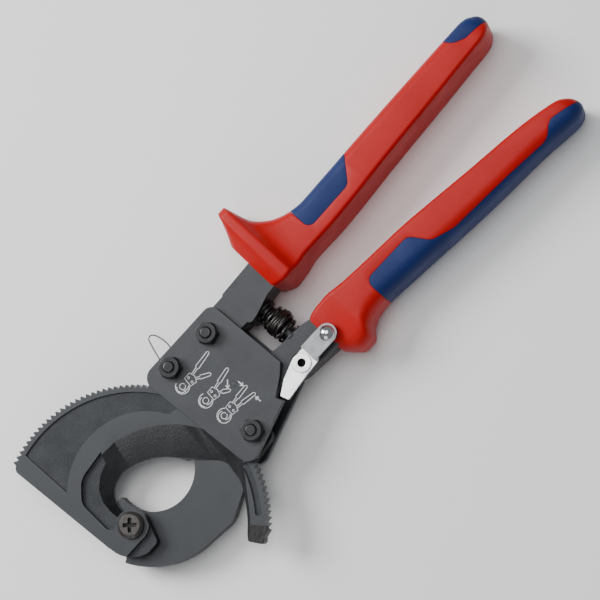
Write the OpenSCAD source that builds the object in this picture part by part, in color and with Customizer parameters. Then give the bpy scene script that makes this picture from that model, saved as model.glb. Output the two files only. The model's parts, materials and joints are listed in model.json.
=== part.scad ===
// Ratcheting cable cutter, lying flat with its front plate up.
// The origin is on the blade pivot's axis, in the plane that the tool lies on.
// +X runs along the fixed handle, +Y away from the moving handle, +Z up.

/* [Blades] */
// Radius of the ratchet teeth's tips about the blade pivot
tooth_tip_r = 55.2; // [45:0.1:67]
// Teeth that a full circle would hold
teeth_per_turn = 144; // [100:1:180]
// Depth of a ratchet tooth
tooth_depth = 1.5; // [1:0.1:2]
// Thickness of each blade
blade_t = 5.7; // [4.7:0.1:7]
// Radius of the fixed blade's cutting edge
fixed_edge_r = 16.8; // [15:0.1:18]
// Radius of the closed end of the moving blade's cutting edge
moving_edge_r = 9.3; // [8:0.1:10]
// Radius of the long part of the moving blade's cutting edge
moving_long_r = 27.8; // [26:0.1:29]
// Width of the bevel behind the moving edge
moving_bevel_w = 12; // [8:0.5:13]
// Width of the bevel behind the fixed edge
fixed_bevel_w = 8; // [5:0.5:10]
// Width of the toothed hook
hook_w = 9.3; // [8:0.1:10]
// Depth of the sunk panels in the moving blade's face
panel_depth = 0.7; // [0.3:0.1:1.2]

/* [Blade pivot] */
// Radius of the pivot screw's shank
pivot_r = 3; // [2.5:0.1:3.6]
// Radius of the pivot screw's head
pivot_head_r = 5.3; // [4.5:0.1:6]
// Height of the pivot screw's head
pivot_head_h = 2.2; // [1.8:0.1:3]
// Wall of the bush in the moving blade
bush_wall = 1.2; // [0.8:0.1:1.6]

/* [Housing] */
// Thickness of each side plate
plate_t = 3; // [2:0.1:4]
// Radius of the three frame bolts
bolt_r = 2.45; // [2:0.05:2.9]
// Width across the flats of the bolt heads and nuts
nut_af = 8; // [7:0.1:10]
// Height of the nuts on the front plate
nut_h = 4; // [3:0.1:5]
// Height of the bolt heads behind the back plate
bolt_head_h = 2.5; // [2:0.1:4]
// Wall of the sleeves that space the plates
sleeve_wall = 0.8; // [0.6:0.1:1]

/* [Handles] */
// Distance from the blade pivot to the ends of the grips
reach = 237.5; // [198:0.5:285]
// Thickness of each grip
grip_t = 21.5; // [18:0.5:26]
// Radius of the moving handle's pivot pin
handle_pin_r = 4; // [3.2:0.1:4.6]
// Thickness of the moving handle's steel
lever_t = 9.4; // [8:0.1:10]
// Distance from the handle pivot to the drive pawl's pin
drive_arm = 14.3; // [13.4:0.1:15]
// Thickness of the steel tangs inside the grips
tang_t = 6; // [4:0.1:8]
// Width of the tangs inside the grips
tang_w = 7; // [5:0.1:8.5]

/* [Pawls and latch] */
// Radius of the drive pawl's pin
pawl_pin_r = 1.9; // [1.5:0.1:2.2]
// Distance that the resting pawls keep from the teeth
pawl_gap = 0.3; // [0.2:0.05:0.6]
// Thickness of the latch's sheet steel
latch_t = 1.5; // [1:0.1:2]
// Radius of the latch rivet's barrel
rivet_r = 2.6; // [2.2:0.1:3]
// Radius of the latch's thumb knob
knob_r = 3.2; // [2.6:0.1:3.6]

/* [Springs] */
// Radius of the opening spring's wire
spring_wire_r = 0.6; // [0.4:0.05:0.75]
// Mean radius of the opening spring's end coils
spring_end_r = 4.3; // [3.8:0.1:5]
// Coils in the opening spring
spring_turns = 8; // [6:1:9]
// Radius of the release loop's wire
loop_wire_r = 0.3; // [0.25:0.05:0.4]

/* [Fits] */
// Gap between faces that slide on each other
slip = 0.2; // [0.1:0.05:0.3]
// Radial clearance of a pin that turns in its bore
run_fit = 0.05; // [0.02:0.01:0.1]
// Radial clearance of a bolt in its hole
bolt_fit = 0.1; // [0.05:0.05:0.3]

/* [Hidden] */
$fn = 64;

steel = "#50565f";
dark_steel = "#33363b";
bright = "#c9ccd1";
red = "#d9251d";
blue = "#27458f";

// Heights of the layers, from the plane that the tool lies on.
back_z0 = bolt_head_h;
back_z1 = back_z0 + plate_t;
fixed_z1 = back_z1 + blade_t;
moving_z0 = fixed_z1 + slip;
moving_z1 = moving_z0 + blade_t;
front_z0 = moving_z1 + 2 * slip;
front_z1 = front_z0 + plate_t;
lever_z1 = front_z0 - 1.5 * slip;
lever_z0 = lever_z1 - lever_t;
lap_z = fixed_z1 + slip / 2;
pawl_z1 = front_z0 - 2 * slip;
pawl_z0 = moving_z0 + 1.2;
spring_z0 = moving_z0;
spring_z1 = pawl_z0 - slip / 2;
tang_z0 = lever_z0 + 0.2;
tang_z1 = tang_z0 + tang_t;
latch_z0 = lever_z1 + slip / 2;
latch_z1 = latch_z0 + latch_t;

function polar(r, a) = [r * cos(a), r * sin(a)];
function unit(v) = v / norm(v);

// Points of an arc from angle a0 to angle a1.
function arc_points(c, r, a0, a1, n) = [for (i = [0:n]) c + polar(r, a0 + (a1 - a0) * i / n)];

// One corner of an outline, rounded by the radius in its third number.
function corner(a, p, b, r, n) =
    r == 0 ? [[p[0], p[1]]] :
    let (
        u = unit([a[0] - p[0], a[1] - p[1]]),
        w = unit([b[0] - p[0], b[1] - p[1]]),
        half = acos(u * w) / 2,
        c = [p[0], p[1]] + unit(u + w) * r / sin(half),
        s = [p[0], p[1]] + u * r / tan(half) - c,
        e = [p[0], p[1]] + w * r / tan(half) - c,
        a0 = atan2(s[1], s[0]),
        turn = (atan2(e[1], e[0]) - a0 + 540) % 360 - 180
    )
    [for (i = [0:n]) c + polar(r, a0 + turn * i / n)];

function rounded(pts, n = 8) = [
    for (i = [0:len(pts) - 1])
        each corner(pts[(i + len(pts) - 1) % len(pts)], pts[i], pts[(i + 1) % len(pts)], pts[i][2], n)
];

// Bolts, pins and pawls, placed from the tooth circle so that they stay clear of the teeth.
bolt_b = polar(tooth_tip_r + 7.9, 28.4);
bolt_a = bolt_b + [19.7, -1.6];
bolt_c = polar(tooth_tip_r + 6.1, -10.5);
bolts = [bolt_a, bolt_b, bolt_c];
handle_pivot = [tooth_tip_r + 20.3, 1.5];
drive_pin = handle_pivot + polar(drive_arm, 168);
anchor_pin = [tooth_tip_r + 12.9, 7.1];
anchor_pin_r = 1.2;
drive_tip_angle = -4.5;
hold_tip_angle = 12;
hold_eye_r = bolt_r + sleeve_wall + 2.1;
latch_pivot = [tooth_tip_r + 36.9, -6.8];
spring_x = tooth_tip_r + 41.3;
spring_top_y = 19.2;
spring_low_y = 5;
spring_z = (lever_z0 + lever_z1) / 2;

// Grips.
grip_x0 = tooth_tip_r + 50.8;
grip_mid = (grip_x0 + reach) / 2;
guard_top = front_z1 + nut_h + 0.5;

module slab(z0, z1) translate([0, 0, z0]) linear_extrude(height = z1 - z0) children();

module rod(c, r, z0, z1) translate([c[0], c[1], z0]) cylinder(r = r, h = z1 - z0);

module tube(c, r_out, r_in, z0, z1) {
    difference() {
        rod(c, r_out, z0, z1);
        rod(c, r_in, z0 - 1, z1 + 1);
    }
}

module disc(c, r) translate(c) circle(r = r);

// Two discs joined by their outer tangents.
module link(c0, r0, c1, r1) {
    d = c1 - c0;
    a = atan2(d[1], d[0]);
    b = acos((r0 - r1) / norm(d));
    disc(c0, r0);
    disc(c1, r1);
    polygon([
        c0 + polar(r0, a + b), c1 + polar(r1, a + b),
        c1 + polar(r1, a - b), c0 + polar(r0, a - b)
    ]);
}

// Side plates.
function plate_outline() = [
    [bolt_b[0] - 11.6, bolt_b[1] + 6.1, 5],
    [bolt_a[0] + 9.2, bolt_b[1] + 6.1, 4],
    [bolt_a[0] + 12.1, -8.6, 2.5],
    [bolt_c[0] - 10.8, bolt_c[1] - 9.4, 4.5]
];
notch_x = bolt_a[0] + 11.6;
module plate_2d() {
    difference() {
        polygon(rounded(plate_outline()));
        for (b = bolts) disc(b, bolt_r + bolt_fit);
    }
}
module notch_2d() {
    polygon([
        [notch_x + 9, 2.5], [notch_x, -0.6], [notch_x - 4.2, -4.2], [notch_x - 11.4, -8.8],
        [notch_x - 9.6, -12.4], [notch_x + 9, -18]
    ]);
}
module front_plate() {
    color(steel) difference() {
        slab(front_z0, front_z1) difference() {
            plate_2d();
            notch_2d();
        }
        rod(handle_pivot, handle_pin_r - 1, front_z0 - 1, front_z1 - 1);
        rod(anchor_pin, anchor_pin_r, front_z0 - 1, front_z1 + 1);
    }
}
module back_plate() {
    color(steel) difference() {
        slab(back_z0, back_z1) plate_2d();
        rod(handle_pivot, handle_pin_r - 1, back_z0 - 1, back_z1 + 1);
    }
}

// Moving blade.
jaw_end_c = [10, 8.4];
jaw_long_c = [7.5, -9.5];
boss_r = 12.4;
hub_r = 6.3;
tooth_step = 360 / teeth_per_turn;
tail_angle = 107.5;
hook_angle = -50.5;
tooth_n = floor((tail_angle - hook_angle) / tooth_step);
hook_in_r = tooth_tip_r - hook_w;
edge_corner = [34.7, 0.8];
function saw_teeth() = [
    for (i = [0:tooth_n - 1])
        let (a = tail_angle - i * tooth_step)
        each [
            polar(tooth_tip_r - tooth_depth, a),
            polar(tooth_tip_r, a - tooth_step * 0.26),
            polar(tooth_tip_r - 0.1, a - tooth_step * 0.36)
        ]
];
module moving_blade_2d() {
    polygon(concat(
        saw_teeth(),
        rounded([
            concat(polar(tooth_tip_r - tooth_depth, hook_angle - 0.5), 0),
            concat(polar(tooth_tip_r - 1.2, hook_angle - 4), 1.5),
            concat(polar(hook_in_r + 1, hook_angle - 3.5), 2),
            concat(polar(hook_in_r, hook_angle + 0.5), 0)
        ], 5),
        arc_points([0, 0], hook_in_r, hook_angle + 2, -24, 10),
        corner([hook_in_r * cos(24), -hook_in_r * sin(24)], [tooth_tip_r - 11.9, -8.6], edge_corner, 7, 8),
        [edge_corner],
        arc_points(jaw_long_c, moving_long_r, 24, 82, 20),
        arc_points(jaw_end_c, moving_edge_r, 97, 200, 16),
        [[0, hub_r / 2], [hub_r - 0.4, -1.2]],
        rounded([[hub_r, -1.6, 0], [2.4, -12, 2], [-3.9, -12, 0]], 6),
        arc_points([0, 0], boss_r, 252, 180, 12),
        rounded([
            [-boss_r - 0.2, 0, 0],
            concat(polar(tooth_tip_r - 1, tail_angle + 2), 2.5),
            concat(polar(tooth_tip_r - tooth_depth, tail_angle + 0.2), 0)
        ], 5)
    ));
}
module panel_2d() {
    difference() {
        intersection() {
            disc([0, 0], tooth_tip_r - 3);
            polygon([
                [-9, moving_edge_r + 17], [-10.8, tooth_tip_r], [tooth_tip_r, tooth_tip_r],
                [tooth_tip_r - 10.2, moving_edge_r + 9]
            ]);
        }
        disc([12.8, 5], moving_edge_r + moving_bevel_w + 10.5);
    }
}
// Outline of the bevel at its foot, just behind the cutting edge, and on the blade's face.
module bevel_foot_2d() {
    grow = 0.3;
    polygon(concat(
        arc_points([0, 0], hook_in_r - 0.9, -56, -20, 10),
        [[43.3, -11], [40, -5.1], edge_corner + [grow, grow]],
        arc_points(jaw_long_c, moving_long_r + grow, 24, 82, 20),
        arc_points(jaw_end_c, moving_edge_r + grow, 97, 200, 16),
        [[2, -4]]
    ));
}
module bevel_rim_2d() {
    polygon(concat(
        arc_points([0, 0], hook_in_r + 1.9, -56, -20, 10),
        arc_points([8, -14], moving_long_r + moving_bevel_w + 3.2, 2, 76, 20),
        [[10.5, 28.2], [4.5, 26], [-0.5, 22], [-3, 17], [-3.6, 11], [-2.8, 4], [2, -6]]
    ));
}
module bevel_pocket_2d() {
    polygon(rounded([
        [-6.4, 4.2, 1.5], [-8, 6, 2], [-8.1, 20.6, 6], [-1.5, 27.6, 9], [12, 29.2, 0],
        [8, 22, 0], [0, 12, 0], [-2, 4.4, 0]
    ]));
}
module hook_slot_2d() {
    a0 = -20;
    a1 = -41;
    r = tooth_tip_r - 4;
    w = 2.6;
    polygon(concat(
        arc_points([0, 0], r + w / 2, a0, a1, 10),
        arc_points([0, 0], r - w / 2, a1, a0, 10)
    ));
    disc(polar(r, a0), w / 2);
    disc(polar(r, a1), w / 2);
}
module moving_blade() {
    land = 0.5;
    color(steel) difference() {
        union() {
            slab(moving_z0, moving_z1) moving_blade_2d();
            rod([0, 0], hub_r, moving_z0, moving_z1);
        }
        rod([0, 0], pivot_r + bush_wall + run_fit, moving_z0 - 1, moving_z1 + 1);
        slab(moving_z1 - panel_depth, moving_z1 + 1) panel_2d();
        slab(moving_z1 - panel_depth, moving_z1 + 1) hook_slot_2d();
        difference() {
            union() {
                hull() {
                    slab(moving_z0 + land, moving_z0 + land + 0.02) bevel_foot_2d();
                    slab(moving_z1, moving_z1 + 0.02) bevel_rim_2d();
                }
                slab(moving_z1 - 1.6, moving_z1 + 0.02) bevel_pocket_2d();
            }
            rod([0, 0], hub_r, moving_z0 - 1, moving_z1 + 1);
            slab(moving_z0 - 1, moving_z1 + 1) polygon([
                [-20, -20], [-20, 0], [-6, 2], [0, 0], [20, -2], [20, -20]
            ]);
        }
        slab(moving_z1 - 1.6, moving_z1 + 1) difference() {
            polygon([[-11, -7], [-2, -7], [4, 0], [12, -2], [8, -16], [-14, -16]]);
            disc([0, 0], hub_r + 0.8);
        }
    }
}

// Fixed blade.
crescent_c = [17.5, 8];
crescent_r = 34.3;
fixed_c = [20.9, 10.2];
module crescent_2d() {
    difference() {
        disc(crescent_c, crescent_r);
        polygon([
            [-40, -20], [-12.2, -6.4], [0, 4], fixed_c, [tooth_tip_r, -4], [tooth_tip_r + 18.8, 60], [-40, 60]
        ]);
    }
}
module shank_2d() {
    polygon(rounded([
        [bolt_b[0] - 8.3, bolt_b[1] + 5.3, 3], [bolt_b[0] + 6, bolt_b[1] + 5.3, 3],
        [bolt_b[0] + 6, bolt_b[1] - 9, 3], [tooth_tip_r + 0.4, 9, 4], [tooth_tip_r + 0.4, -3, 1.5],
        [bolt_c[0] + 5.2, bolt_c[1] + 4, 3], [bolt_c[0] + 3.2, bolt_c[1] - 5, 3],
        [46, -18.8, 3], [39.6, -22.2, 4], [28.4, -27.5, 9], [14, -26, 0],
        [24, -10, 0], [34, 8, 0], [tooth_tip_r - 16.2, 15, 6]
    ], 5));
}
lap_y = bolt_b[1] - 5.6;
module fixed_blade() {
    land = 0.5;
    color(steel) difference() {
        union() {
            rod([0, 0], boss_r, back_z1, fixed_z1);
            slab(back_z1, fixed_z1) crescent_2d();
            slab(back_z1, fixed_z1) shank_2d();
        }
        rod(fixed_c, fixed_edge_r, back_z1 - 1, fixed_z1 + 1);
        for (b = [bolt_b, bolt_c]) rod(b, bolt_r + bolt_fit, back_z1 - 1, fixed_z1 + 1);
        rod([0, 0], pivot_r + bolt_fit, back_z1 - 1, fixed_z1 + 1);
        difference() {
            translate([fixed_c[0], fixed_c[1], back_z1 - 0.01])
                cylinder(r1 = fixed_edge_r + fixed_bevel_w, r2 = fixed_edge_r, h = blade_t - land);
            rod([0, 0], boss_r, back_z1 - 1, fixed_z1 + 1);
            translate([tooth_tip_r - 13.2, -60, back_z1 - 1]) cube([60, 120, blade_t + 2]);
        }
        translate([tooth_tip_r - 13.2, lap_y, back_z1 - 1])
            cube([40, 20, blade_t / 2 + 1]);
    }
}

// Blade pivot.
module blade_pivot_screw() {
    recess_w = 1.5;
    recess_l = 5.6;
    recess_d = 1.4;
    head_z = moving_z1 + slip / 2;
    color(dark_steel) difference() {
        union() {
            rod([0, 0], pivot_r, bolt_head_h / 2, head_z + 0.1);
            translate([0, 0, head_z]) cylinder(r = pivot_head_r, h = pivot_head_h - 0.8);
            translate([0, 0, head_z + pivot_head_h - 0.8])
                cylinder(r1 = pivot_head_r, r2 = pivot_head_r - 1.2, h = 0.8);
        }
        for (a = [45, 135])
            translate([0, 0, head_z + pivot_head_h - recess_d / 2 + 0.5]) rotate([0, 0, a])
                cube([recess_l, recess_w, recess_d + 1], center = true);
    }
}
module blade_pivot_bush() {
    color(bright) tube([0, 0], pivot_r + bush_wall, pivot_r, fixed_z1, moving_z1 + slip / 2);
}
module blade_pivot_washer() {
    color(bright) tube([0, 0], pivot_r * 2, pivot_r, back_z1 - 0.6, back_z1);
}
module blade_pivot_nut() {
    color(dark_steel) difference() {
        cylinder(r = 11 / sqrt(3), h = back_z1 - 0.6, $fn = 6);
        rod([0, 0], pivot_r, bolt_head_h / 2, back_z1);
    }
}

// Frame bolts.
module hexagon(c, af, z0, z1) {
    translate([c[0], c[1], z0]) rotate([0, 0, 12]) cylinder(r = af / sqrt(3), h = z1 - z0, $fn = 6);
}
module frame_bolts() {
    color(dark_steel) for (b = bolts) {
        rod(b, bolt_r, bolt_head_h / 2, front_z1 + nut_h);
        translate([b[0], b[1], front_z1 + nut_h]) cylinder(r1 = bolt_r, r2 = bolt_r - 0.6, h = 0.8);
        hexagon(b, nut_af, 0, bolt_head_h);
    }
}
module frame_nuts() {
    color(dark_steel) for (b = bolts) difference() {
        intersection() {
            hexagon(b, nut_af, front_z1, front_z1 + nut_h);
            translate([b[0], b[1], front_z1])
                cylinder(r1 = nut_af / 2 + 4, r2 = nut_af / 2 - 0.1, h = nut_h);
        }
        rod(b, bolt_r, front_z1 - 1, front_z1 + nut_h + 1);
    }
}
module spacer_sleeves() {
    color(bright) for (b = [bolt_b, bolt_c])
        tube(b, bolt_r + sleeve_wall, bolt_r, fixed_z1, front_z0);
}

// Handle pivot.
module handle_pivot_pin() {
    color(dark_steel) {
        rod(handle_pivot, handle_pin_r, back_z1, front_z0);
        rod(handle_pivot, handle_pin_r - 1, back_z0, front_z1 - 1);
    }
}
module handle_pivot_spacer() {
    color(bright)
        tube(handle_pivot, handle_pin_r + 2.4, handle_pin_r, back_z1, lever_z0 - slip / 2);
}

// The tang that runs through a grip, from the grip's mouth to near its end.
module tang(y0, y1) {
    slab(tang_z0, tang_z1) polygon([
        [grip_x0 + 4, y0 + tang_w / 2], [reach - 14, y1 + tang_w / 2],
        [reach - 14, y1 - tang_w / 2], [grip_x0 + 4, y0 - tang_w / 2]
    ]);
}
module fixed_tang() tang(30, 32.5);
module moving_tang() tang(lever_y(grip_x0), lever_y(reach - 14));

// The space a spring seat's flange takes, from the spring's end into the arm.
module seat_pocket(y0, y1) {
    translate([spring_x, y1, spring_z]) rotate([90, 0, 0])
        cylinder(r = spring_end_r + spring_wire_r, h = y1 - y0);
}

// Fixed arm.
arm_x = bolt_a[0] + 12.6;
seat_flange = 1.2;
seat_depth = 1.4;
module fixed_arm() {
    neck_z1 = front_z1 - 0.3;
    color(steel) difference() {
        union() {
            slab(back_z1, front_z0) polygon(rounded([
                [bolt_a[0] - 5.4, bolt_b[1] + 5.2, 0], [arm_x + 6, bolt_b[1] + 5.2, 0],
                [arm_x + 6, 20.6, 0], [bolt_a[0] - 5.4, 21.6, 2]
            ]));
            slab(back_z1, back_z1 + blade_t / 2) polygon(rounded([
                [bolt_b[0] - 6.5, bolt_b[1] + 5.2, 2], [bolt_a[0], bolt_b[1] + 5.2, 0],
                [bolt_a[0], lap_y + slip, 0], [bolt_b[0] - 6.5, lap_y + slip, 2]
            ]));
            slab(lever_z0 - 1, neck_z1) polygon(rounded([
                [arm_x + 1, 35, 2], [grip_x0 + 6, 36, 0], [grip_x0 + 6, 22.5, 0],
                [grip_x0 - 4, 21.6, 3], [arm_x + 6, 19.2, 2], [arm_x + 1.5, 18.6, 1.8],
                [arm_x + 1, 22, 1]
            ]));
            fixed_tang();
        }
        seat_pocket(spring_low_y, spring_top_y + seat_depth);
        disc_cut(bolt_a, bolt_r + bolt_fit);
        disc_cut(bolt_b, bolt_r + bolt_fit);
        translate([arm_x + 0.5, 10, neck_z1])
            rotate([0, 36, 0]) translate([-9, 0, -1]) cube([9, 40, 8]);
    }
}
module disc_cut(c, r) rod(c, r, -1, front_z1 + 10);

// Spring seats.
module spring_seat() {
    cylinder(r = spring_end_r - spring_wire_r - 0.3, h = seat_flange + 2.6);
    cylinder(r = spring_end_r + spring_wire_r, h = seat_flange);
}
module arm_spring_seat() {
    color(dark_steel) translate([spring_x, spring_top_y + seat_depth, spring_z])
        rotate([90, 0, 0]) spring_seat();
}
module lever_spring_seat() {
    color(dark_steel) translate([spring_x, spring_low_y - seat_depth, spring_z])
        rotate([-90, 0, 0]) spring_seat();
}

// A wire of round section along a coil: the axis is local Z, and sides and steps set its mesh.
module coil(h, turns, wire_r, end_r, belly, crowd, sides = 6, steps = 16) {
    n = turns * steps;
    function at(i, b) =
        let (
            t = i / n,
            a = 360 * turns * t,
            r = end_r + belly * sin(180 * t) + wire_r * cos(b),
            z = h * (t - crowd * sin(360 * t) / 6.2832) - wire_r * sin(b)
        )
        [r * cos(a), r * sin(a), z];
    points = [for (i = [0:n]) for (j = [0:sides - 1]) at(i, 360 * j / sides)];
    polyhedron(points, concat(
        [[for (j = [0:sides - 1]) j]],
        [for (i = [0:n - 1]) for (j = [0:sides - 1]) each side_faces(i, j, sides)],
        [[for (j = [sides - 1:-1:0]) n * sides + j]]
    ));
}
function side_faces(i, j, n) =
    let (a = i * n + j, b = i * n + (j + 1) % n, c = b + n, d = a + n) [[a, c, b], [a, d, c]];

module opening_spring() {
    top = spring_top_y + 0.2 - spring_wire_r - 0.05;
    low = spring_low_y - 0.2 + spring_wire_r + 0.05;
    color(dark_steel) translate([spring_x, top, spring_z]) rotate([90, 0, 0])
        coil(top - low, spring_turns, spring_wire_r, spring_end_r, 0.9, 0.28);
}

// Moving arm.
lever_boss_r = handle_pin_r + 3.4;
function lever_y(x) = -3.4 - 0.085 * (x - tooth_tip_r - 35.2);
module lever_2d() {
    disc(handle_pivot, lever_boss_r);
    polygon(rounded([
        [handle_pivot[0] - 1, handle_pivot[1] + lever_boss_r, 0],
        [tooth_tip_r + 32.8, 5.2, 6],
        [spring_x - 6, 4.9, 2], [spring_x + 6, 4.1, 3], [grip_x0 + 6, 1.6, 0],
        [grip_x0 + 6, -12.6, 0], [tooth_tip_r + 33.8, -10.6, 6],
        [handle_pivot[0] + 3, handle_pivot[1] - handle_pin_r - 3.4, 3],
        [handle_pivot[0] - 1, handle_pivot[1] - handle_pin_r - 3.4, 0]
    ]));
}
module moving_arm() {
    nose_r = pawl_pin_r + 1.7;
    color(steel) difference() {
        union() {
            slab(lever_z0, lever_z1) lever_2d();
            slab(lever_z0, lap_z) link(handle_pivot, lever_boss_r, drive_pin, nose_r);
            moving_tang();
        }
        seat_pocket(spring_low_y - seat_depth, spring_top_y);
        rod(handle_pivot, handle_pin_r + run_fit, lever_z0 - 1, lever_z1 + 1);
        rod(drive_pin, pawl_pin_r, lever_z0 - 1, lever_z1 + 1);
        rod(latch_pivot, rivet_r, lever_z0 - 1, lever_z1 + 1);
        tube(latch_pivot, rivet_r + 2.2, rivet_r, lever_z1 - 1.4, lever_z1 + 1);
    }
}

// Pawls: one outline round the eye, the nose and the pointed tip.
function pawl_outline(pivot, eye_r, tip_angle, lean) =
    let (
        nose_r = 1.9,
        tip = polar(tooth_tip_r + pawl_gap, tip_angle),
        nose = polar(tooth_tip_r + pawl_gap + 2.4, tip_angle + lean),
        d = nose - pivot,
        a = atan2(d[1], d[0]),
        b = acos((eye_r - nose_r) / norm(d))
    )
    concat(
        arc_points(pivot, eye_r, a + b, a + 360 - b, 40),
        arc_points(nose, nose_r, a - b, a - b + 30, 4),
        [tip],
        arc_points(nose, nose_r, a + b - 30, a + b, 4)
    );
module drive_pawl() {
    color(dark_steel) difference() {
        slab(pawl_z0, pawl_z1)
            polygon(pawl_outline(drive_pin, pawl_pin_r + 1.6, drive_tip_angle, 1.6));
        rod(drive_pin, pawl_pin_r + run_fit, pawl_z0 - 1, pawl_z1 + 1);
    }
}
module drive_pawl_pin() {
    color(bright) rod(drive_pin, pawl_pin_r, lever_z0, pawl_z1);
}
module ring(c, r, wire_r, z) {
    translate([c[0], c[1], z]) rotate_extrude() translate([r, 0]) circle(r = wire_r, $fn = 24);
}
// A bent wire of round section along a route that is never upright.
module wire(route, wire_r, sides = 8) {
    last = len(route) - 1;
    function at(i, b) =
        let (
            t = unit(route[min(i + 1, last)] - route[max(i - 1, 0)]),
            u = unit(cross(t, [0, 0, 1])),
            v = cross(t, u)
        )
        route[i] + wire_r * (cos(b) * u + sin(b) * v);
    polyhedron([for (i = [0:last]) for (j = [0:sides - 1]) at(i, 360 * j / sides)], concat(
        [[for (j = [0:sides - 1]) j]],
        [for (i = [0:last - 1]) for (j = [0:sides - 1]) each side_faces(i, j, sides)],
        [[for (j = [sides - 1:-1:0]) last * sides + j]]
    ));
}
// The route of a leg spring: one leg, a turn and a bit about the pin, the other leg.
function leg_spring(pin, r, a0, a1, leg0, leg1, z0, z1) = concat(
    [concat(leg0, z0)],
    [for (i = [0:24]) concat(pin + polar(r, a0 + (a1 - a0) * i / 24), z0 + (z1 - z0) * i / 24)],
    [concat(leg1, z1)]
);
pawl_wire_r = (spring_z1 - spring_z0) * 0.22;
module drive_pawl_spring() {
    r = pawl_pin_r + pawl_wire_r + 0.15;
    color(bright) wire(leg_spring(
        drive_pin, r, 75, 75 - 400, handle_pivot + polar(lever_boss_r + pawl_wire_r + 0.05, 150),
        drive_pin + polar(r + 3, -50), spring_z0 + pawl_wire_r, spring_z1 - pawl_wire_r
    ), pawl_wire_r);
}
module holding_pawl() {
    color(dark_steel) difference() {
        slab(pawl_z0, pawl_z1)
            polygon(pawl_outline(bolt_b, hold_eye_r, hold_tip_angle, 1.6));
        rod(bolt_b, bolt_r + sleeve_wall + run_fit, pawl_z0 - 1, pawl_z1 + 1);
    }
}
module holding_pawl_spring() {
    r = bolt_r + sleeve_wall + pawl_wire_r + 0.1;
    color(bright) wire(leg_spring(
        bolt_b, r, 20, 20 - 420, anchor_pin + [-0.4, anchor_pin_r + 0.3],
        bolt_b + polar(r + 5, -95), spring_z0 + pawl_wire_r, spring_z1 - pawl_wire_r
    ), pawl_wire_r);
}
module spring_anchor_pin() {
    color(dark_steel) rod(anchor_pin, anchor_pin_r, spring_z0, front_z1);
}

// Release loop, bent from one wire whose two feet are held in the holding pawl's rim.
loop_route = [
    [-1.9, 4.2], [-1.8, 5.6], [-1.6, 7.2], [-0.9, 10], [0.1, 13.6], [0.9, 16], [1.5, 16.8],
    [2.4, 17], [3.3, 16.6], [4.2, 15.2], [4.9, 12.6], [5.1, 9.6], [4.6, 6.8], [3.7, 4.6], [2.8, 3.2]
];
module release_wire() {
    z = (pawl_z0 + pawl_z1) / 2;
    color(bright) wire([for (p = loop_route) concat(bolt_b + p, z)], loop_wire_r);
}

// Latch.
latch_bend_x = latch_pivot[0] + 5.9;
module latch_2d() {
    difference() {
        union() {
            polygon(rounded([
                [tooth_tip_r + 21.9, -9.3, 0.6], [tooth_tip_r + 27.6, -5.8, 6],
                [tooth_tip_r + 35.3, -3, 4], [latch_bend_x, -2.9, 1],
                [latch_bend_x, -10.8, 1], [tooth_tip_r + 35.3, -11.2, 5],
                [tooth_tip_r + 23, -12.7, 0.6]
            ], 5));
            disc(latch_pivot, 3.9);
        }
        disc(latch_pivot, rivet_r + run_fit);
    }
}
knob_c = [grip_x0 + 1.2, -6.6];
tab_z = grip_t - 1.6;
module latch_lever() {
    color(bright) {
        slab(latch_z0, latch_z1) latch_2d();
        slab(latch_z0, tab_z + latch_t) translate([latch_bend_x - latch_t, -10.6]) square([latch_t, 7.6]);
        slab(tab_z, tab_z + latch_t) difference() {
            union() {
                disc(knob_c, 3.9);
                translate([latch_bend_x - latch_t, knob_c[1] - 3.9])
                    square([knob_c[0] - latch_bend_x + latch_t, 7.8]);
            }
            disc(knob_c, knob_r - 1.6);
        }
    }
}
module latch_rivet() {
    hole_r = 1.6;
    color(bright) difference() {
        union() {
            rod(latch_pivot, rivet_r, lever_z0 - 0.8, latch_z1 + slip);
            rod(latch_pivot, rivet_r + 1.2, latch_z1 + slip / 2, latch_z1 + slip / 2 + 0.8);
            rod(latch_pivot, rivet_r + 1.2, lever_z0 - 0.8, lever_z0);
        }
        rod(latch_pivot, hole_r, lever_z0 - 2, latch_z1 + 3);
    }
}
module latch_spring() {
    color(bright) ring(latch_pivot, rivet_r + 1.1, 0.5, lever_z1 - 0.75);
}
module latch_knob() {
    dome_h = 2;
    dome_sphere_r = (knob_r * knob_r + dome_h * dome_h) / (2 * dome_h);
    color(bright) {
        rod(knob_c, knob_r - 1.6, tab_z, tab_z + latch_t);
        translate([knob_c[0], knob_c[1], tab_z + latch_t]) intersection() {
            translate([0, 0, dome_h - dome_sphere_r]) sphere(r = dome_sphere_r);
            cylinder(r = knob_r, h = dome_h + 1);
        }
    }
}

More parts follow.
